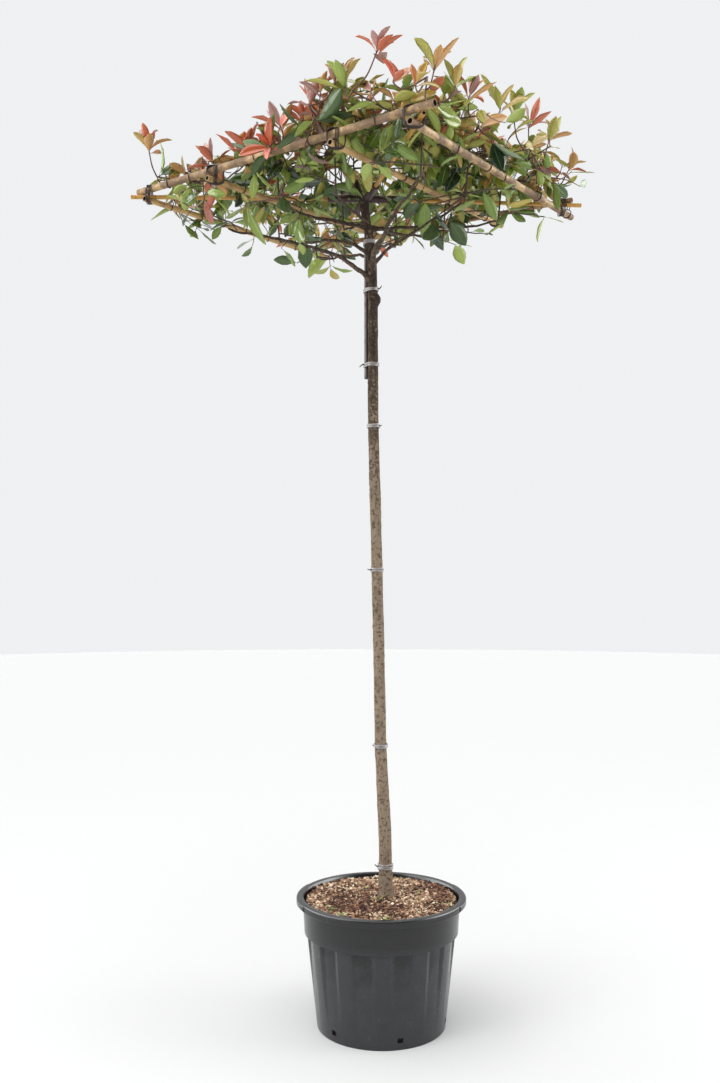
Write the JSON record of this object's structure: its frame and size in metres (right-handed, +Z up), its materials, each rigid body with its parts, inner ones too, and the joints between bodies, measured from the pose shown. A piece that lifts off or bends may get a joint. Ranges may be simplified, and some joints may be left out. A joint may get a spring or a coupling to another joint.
{
  "type": "photinia standard tree in a pot",
  "caption": "Potted photinia standard: slim bare trunk in a fluted nursery pot, its flat square crown of glossy leaves and coppery new shoots trained on a cane frame.",
  "frame": {"origin": "centre of the pot's flat underside, on the surface that the pot stands on", "axes": "+Z up along the trunk, +X to the right and +Y away from the viewer of the picture"},
  "size_m": [1.5477, 1.5976, 2.9913],
  "materials": {
    "pot_plastic": "satin",
    "potting_bark": "matte",
    "trunk_bark": "matte",
    "bough_bark": "matte",
    "post_steel": "satin",
    "cross_steel": "satin",
    "tie_rubber": "matte",
    "bamboo": "satin",
    "lashing_wire": "satin",
    "photinia_foliage": "satin"
  },
  "bodies": {
    "root": {"pot": "pot_plastic", "soil": "potting_bark", "trunk": "trunk_bark", "post": "post_steel", "cross": "cross_steel", "bough_corner_left": "bough_bark", "bough_right_mid": "bough_bark", "bough_corner_front": "bough_bark", "bough_corner_back": "bough_bark", "bough_back_left": "bough_bark", "bough_left_mid": "bough_bark", "bough_back_right": "bough_bark", "bough_corner_right": "bough_bark", "bough_front_mid": "bough_bark", "bough_front_left": "bough_bark", "bough_centre_left": "bough_bark", "cane_front_left": "bamboo", "cane_back_right": "bamboo", "cane_back_left": "bamboo", "cane_inner_left": "bamboo", "cane_inner_right": "bamboo", "cane_front_right": "bamboo", "diagonal_left": "bamboo", "diagonal_front": "bamboo", "diagonal_right": "bamboo", "diagonal_back": "bamboo", "lashing_left": "lashing_wire", "lashing_front": "lashing_wire", "lashing_right": "lashing_wire", "lashing_back": "lashing_wire", "lashing_front_left": "lashing_wire", "lashing_front_mid": "lashing_wire", "lashing_back_left": "lashing_wire", "lashing_back_mid": "lashing_wire", "tie_1": "tie_rubber", "tie_2": "tie_rubber", "tie_3": "tie_rubber", "tie_4": "tie_rubber", "tie_5": "tie_rubber", "tie_6": "tie_rubber", "tie_7": "tie_rubber", "foliage_corner_left": "photinia_foliage", "foliage_right_mid": "photinia_foliage", "foliage_corner_front": "photinia_foliage", "foliage_corner_back": "photinia_foliage", "foliage_back_left": "photinia_foliage", "foliage_left_mid": "photinia_foliage", "foliage_back_right": "photinia_foliage", "foliage_corner_right": "photinia_foliage", "foliage_front_mid": "photinia_foliage", "foliage_front_left": "photinia_foliage", "foliage_centre_left": "photinia_foliage", "foliage_centre": "photinia_foliage"}
  },
  "joints": []
}
